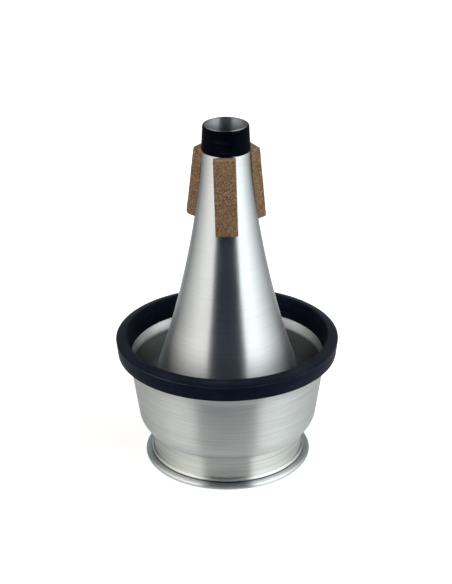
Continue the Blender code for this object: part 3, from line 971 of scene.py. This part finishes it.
cone_metal = spun_metal("cone_aluminium", cone_colour, *CONE_FINISH, cone_dulled, cone_marks, THROAT_METAL)
cap_metal = spun_metal("cap_aluminium", cap_colour, *CAP_FINISH)
cup_metal = spun_metal("cup_aluminium", cup_colour, *CUP_FINISH, cup_dulled, cup_marks)
sleeve = rubber("black_sleeve", *SLEEVE_FINISH)
black_rubber = rubber("black_rubber", *RIM_FINISH, rubbed)
liner = rubber("liner_rubber", *LINER_FINISH)
cork_finish = cork()

turned("cone_shell", "mute_body", cone_outline(), cone_metal)
turned("throat_collar", "mute_body", collar_outline(), sleeve)
turned("base_cap", "mute_body", sheet_outline(cap_path(), CAP_SHEET), cap_metal)
turned("cup_shell", "cup", sheet_outline(cup_path(), CUP_SHEET), cup_metal)
turned("rubber_rim", "cup", rim_outline(), black_rubber)
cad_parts["grip_ring"].data.materials.clear()
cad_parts["grip_ring"].data.materials.append(liner)


# Cork strips
def grid_marks(size, bevel, count):
    """Places of a grid's lines across a size, closer together at its rounded edges."""
    angles = np.linspace(0.0, QUARTER, CORK_EDGE_STEPS)
    edge = [size / 2 - bevel * (1 - math.sin(t)) for t in angles]
    core = list(np.linspace(-edge[0], edge[0], count))
    return [-e for e in edge[:0:-1]] + core + edge[1:]


def worn_point(y, z, half_length, end, seed):
    """A point of a block's outer face, which is rounded and chipped at its edges and uneven."""
    flat_y = CORK_WIDTH / 2 - CORK_EDGE
    flat_z = half_length - end
    over_y = max(0.0, abs(y) - flat_y) / CORK_EDGE
    over_z = max(0.0, abs(z) - flat_z) / end
    over = math.hypot(over_y, over_z)
    squeeze = min(1.0, 1.0 / over) if over > 0 else 1.0
    depth = (CORK_EDGE * over_y ** 2 + end * over_z ** 2) / over ** 2 if over > 0 else 0.0
    fall = depth * (1.0 - math.sqrt(1.0 - min(over, 1.0) ** 2))
    spot = Vector((y * WEAR_SCALE + seed, z * WEAR_SCALE, seed * WEAR_SHIFT))
    wear = WEAR_COARSE * noise.noise(spot) + WEAR_FINE * noise.noise(spot * WEAR_FINE_SCALE)
    chip = CHIP_DEPTH * max(0.0, noise.noise(spot * CHIP_SCALE) - CHIP_START) * over
    return (
        -fall + wear - chip,
        math.copysign(min(abs(y), flat_y) + over_y * squeeze * CORK_EDGE, y),
        math.copysign(min(abs(z), flat_z) + over_z * squeeze * end, z),
    )


def depth_to_cone(matrix, y, z, drops, radii):
    """How deep in the block its line at y and z comes to the cone, found by halving."""
    low, high = -CORK_BLOCK, CORK_PROUD
    for _ in range(HALVINGS):
        middle = (low + high) / 2
        point = matrix @ Vector((middle, y, z))
        if math.hypot(point.x, point.y) > np.interp(-point.z, drops, radii) + CORK_GAP:
            high = middle
        else:
            low = middle
    return high


def border_places(rows, columns):
    """The places on a grid's border, in order round it."""
    near = [(i, 0) for i in range(rows - 1)]
    right = [(rows - 1, j) for j in range(columns - 1)]
    far = [(i, columns - 1) for i in range(rows - 1, 0, -1)]
    left = [(0, j) for j in range(columns - 1, 0, -1)]
    return near + right + far + left


def cork_block(node, azimuth, seed):
    """A cork block in the place of its CAD strip, its back on the cone and its worn faces uneven."""
    top = COLLAR_BOTTOM
    reach = CORK_LENGTH - CORK_TRIMS[node]
    bottom = top - reach
    top_face = NECK_RADIUS + CORK_TOP_WALL
    bottom_face = cone_radius(bottom) + CORK_BOTTOM_WALL
    lean = math.atan2(bottom_face - top_face, reach)
    length = reach / math.cos(lean)
    around = Matrix.Rotation(azimuth - QUARTER, 4, "Z")
    place = Matrix.Translation(((top_face + bottom_face) / 2, 0.0, (top + bottom) / 2))
    tilt = Matrix.Rotation(CORK_TURN, 4, "X") @ Matrix.Rotation(-lean, 4, "Y")
    matrix = around @ place @ tilt
    face = cone_face()[CONE_UNDER_CORK]
    drops = [-f[1] for f in face]
    radii = [f[0] for f in face]

    end = CORK_END_ROUNDS[node]
    ys = grid_marks(CORK_WIDTH, CORK_EDGE, CORK_ROWS)
    zs = grid_marks(length, end, CORK_COLUMNS)
    body = bmesh.new()
    outer, inner = [], []
    for y in ys:
        outer.append([])
        inner.append([])
        for z in zs:
            point = worn_point(y, z, length / 2, end, seed)
            depth = depth_to_cone(matrix, *point[1:], drops, radii)
            outer[-1].append(body.verts.new(point))
            inner[-1].append(body.verts.new((depth, *point[1:])))
    rows, columns = len(ys), len(zs)
    for i in range(rows - 1):
        for j in range(columns - 1):
            body.faces.new((outer[i][j], outer[i + 1][j], outer[i + 1][j + 1], outer[i][j + 1]))
            body.faces.new((inner[i][j], inner[i][j + 1], inner[i + 1][j + 1], inner[i + 1][j]))
    border = border_places(rows, columns)
    for (i, j), (k, m) in zip(border, border[1:] + border[:1]):
        body.faces.new((outer[i][j], inner[i][j], inner[k][m], outer[k][m]))
    piece = smooth_object(body, node + "_block", cork_finish, SHARP_CORK, matrix)
    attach(piece, "mute_body")
    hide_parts(node)


for index, (node, azimuth) in enumerate(CORK_AZIMUTHS.items()):
    cork_block(node, azimuth, FIRST_SEED + SEED_STEP * index)


# Studio
def plain_mesh(name, verts, faces, finish):
    """A mesh that belongs to the studio."""
    mesh = bpy.data.meshes.new(name)
    mesh.from_pydata(verts, [], faces)
    mesh.materials.append(finish)
    made = link(bpy.data.objects.new(name, mesh))
    return made


def square(reach, level):
    """Corners of a level square round the Z axis."""
    return [(-reach, -reach, level), (reach, -reach, level), (reach, reach, level), (-reach, reach, level)]


def bent_card(name, radius, start, end, low, high, finish, steps):
    """An upright card bent round the object. Angles go from -Y towards +X."""
    verts, faces = [], []
    for i in range(steps + 1):
        angle = start + (end - start) * i / steps
        x, y = radius * math.sin(angle), -radius * math.cos(angle)
        verts += [(x, y, low), (x, y, high)]
        if i:
            k = 2 * i
            faces.append((k - 2, k, k + 1, k - 1))
    return plain_mesh(name, verts, faces, finish)


def from_front(tree):
    """A point's angle round the object from -Y, the same to both sides, and its height."""
    x, y, z = split(tree, object_place(tree))
    return maths(tree, "ABSOLUTE", maths(tree, "ARCTAN2", x, maths(tree, "MULTIPLY", y, -1.0))), z


def glow(name, colour, strength):
    """An emission finish, whose colour and strength each come from a function of its node tree."""
    made = bpy.data.materials.new(name)
    made.use_nodes = True
    tree = made.node_tree
    tree.nodes.clear()
    light = add(tree, "ShaderNodeEmission", {"Color": colour(tree), "Strength": strength(tree)})
    end = add(tree, "ShaderNodeOutputMaterial")
    tree.links.new(light.outputs[0], end.inputs["Surface"])
    return made


def mirrored_ray(tree, path):
    """1 for glossy and transmission rays."""
    return maths(tree, "MAXIMUM", path.outputs["Is Glossy Ray"], path.outputs["Is Transmission Ray"])


def floor_finish():
    """Pale floor that shows white to the camera, with the object's soft shadow near it, and a painted shadow
    near it in reflections.
    """
    made, tree, shader = material("pale_floor")
    shader.inputs["Base Color"].default_value = FLOOR_TONE
    shader.inputs["Roughness"].default_value = FLOOR_ROUGH
    shader.inputs["Specular IOR Level"].default_value = 0.0
    shader.inputs["Emission Color"].default_value = WHITE
    path = add(tree, "ShaderNodeLightPath")
    away = add(tree, "ShaderNodeVectorMath", {0: object_place(tree)}, operation="LENGTH").outputs["Value"]
    # Painted shadow near the object, for reflections
    mirrored = product(tree, mirrored_ray(tree, path), mapped(tree, away, *FLOOR_MIRRORED))
    seen = product(tree, path.outputs["Is Camera Ray"], mapped(tree, away, *FLOOR_SEEN))
    tree.links.new(maths(tree, "MAXIMUM", seen, mirrored), shader.inputs["Emission Strength"])
    return made


def softbox(name, side, reach, tint, strength, fade_start, far_share):
    """A tall bent softbox to one side, stronger higher up, that fades towards its far edge."""
    def level(tree):
        angle, z = from_front(tree)
        across = mapped(tree, angle, fade_start, reach, strength, strength * far_share)
        return product(tree, across, mapped(tree, z, *BOX_RISE))

    finish = glow(name + "_light", lambda tree: tint, level)
    card = bent_card(name, BOX_RADIUS, side * BOX_EDGE, side * reach, BOX_BOTTOM, BOX_TOP, finish, BOX_STEPS)
    card.visible_camera = False


def drape_colour(tree):
    """Near black and bluish in front of the object, and grey at its sides and back."""
    angle, _ = from_front(tree)
    return mixed(tree, mapped(tree, angle, *DRAPE_TURN), DRAPE_FRONT, DRAPE_BACK)


def drape_level(tree):
    """Strength by height, rising in front of the object and falling at its sides and back."""
    angle, z = from_front(tree)
    front = mapped(tree, z, *DRAPE_RISE)
    back = product(tree, mapped(tree, z, *DRAPE_BACK_RISE), mapped(tree, angle, *DRAPE_BEHIND))
    step = maths(tree, "SUBTRACT", back, front)
    return maths(tree, "MULTIPLY_ADD", mapped(tree, angle, *DRAPE_TURN), step, front)


def floor_drape(finish):
    """Dark cloth on the studio floor round the pale table top that the camera sees."""
    verts = [(x, y, CLOTH_LEVEL) for x, y in TABLE_TOP] + square(FLOOR_SIZE, CLOTH_LEVEL)
    faces = [(4, 5, 1, 0), (5, 6, 2, 1), (6, 7, 3, 2), (7, 4, 0, 3)]
    return plain_mesh("drape_floor", verts, faces, finish)


def ceiling_card():
    """The light ceiling over the drape."""
    finish = glow("ceiling", lambda tree: CEILING_TINT, lambda tree: CEILING_LEVEL)
    return plain_mesh("drape_ceiling", square(CEILING_REACH, DRAPE_TOP), [(0, 1, 2, 3)], finish)


plain_mesh("floor", square(FLOOR_SIZE, 0.0), [(0, 1, 2, 3)], floor_finish())
softbox("softbox_left", -1, *LEFT_BOX)
softbox("softbox_right", 1, *RIGHT_BOX)
drape = glow("drape", drape_colour, drape_level)
wall = bent_card("drape_wall", DRAPE_RADIUS, 0.0, 2 * math.pi, 0.0, DRAPE_TOP, drape, DRAPE_STEPS)
for card in (wall, ceiling_card(), floor_drape(drape)):
    card.visible_camera = False
    card.visible_diffuse = False
    card.visible_shadow = False
    card.visible_transmission = False

world = bpy.data.worlds.new("studio")
bpy.context.scene.world = world
world.use_nodes = True
sky = world.node_tree
background = sky.nodes["Background"]
background.inputs["Color"].default_value = WHITE
sky_path = add(sky, "ShaderNodeLightPath")
shown = maths(sky, "MAXIMUM", sky_path.outputs["Is Camera Ray"], mirrored_ray(sky, sky_path))
sky.links.new(mapped(sky, shown, 0.0, 1.0, FILL, 1.0), background.inputs["Strength"])

# Camera
lens = bpy.data.cameras.new("camera")
lens.lens = FOCAL_LENGTH * lens.sensor_width / FRAME_HEIGHT
lens.clip_start = CLIP_START
lens.clip_end = CLIP_END
camera = link(bpy.data.objects.new("camera", lens))
pitch = Matrix.Rotation(QUARTER - CAMERA_PITCH, 4, "X")
camera.matrix_world = Matrix.Translation(CAMERA_PLACE) @ pitch @ Matrix.Rotation(-CAMERA_ROLL, 4, "Z")
bpy.context.scene.camera = camera
bpy.context.scene.view_settings.view_transform = "Standard"
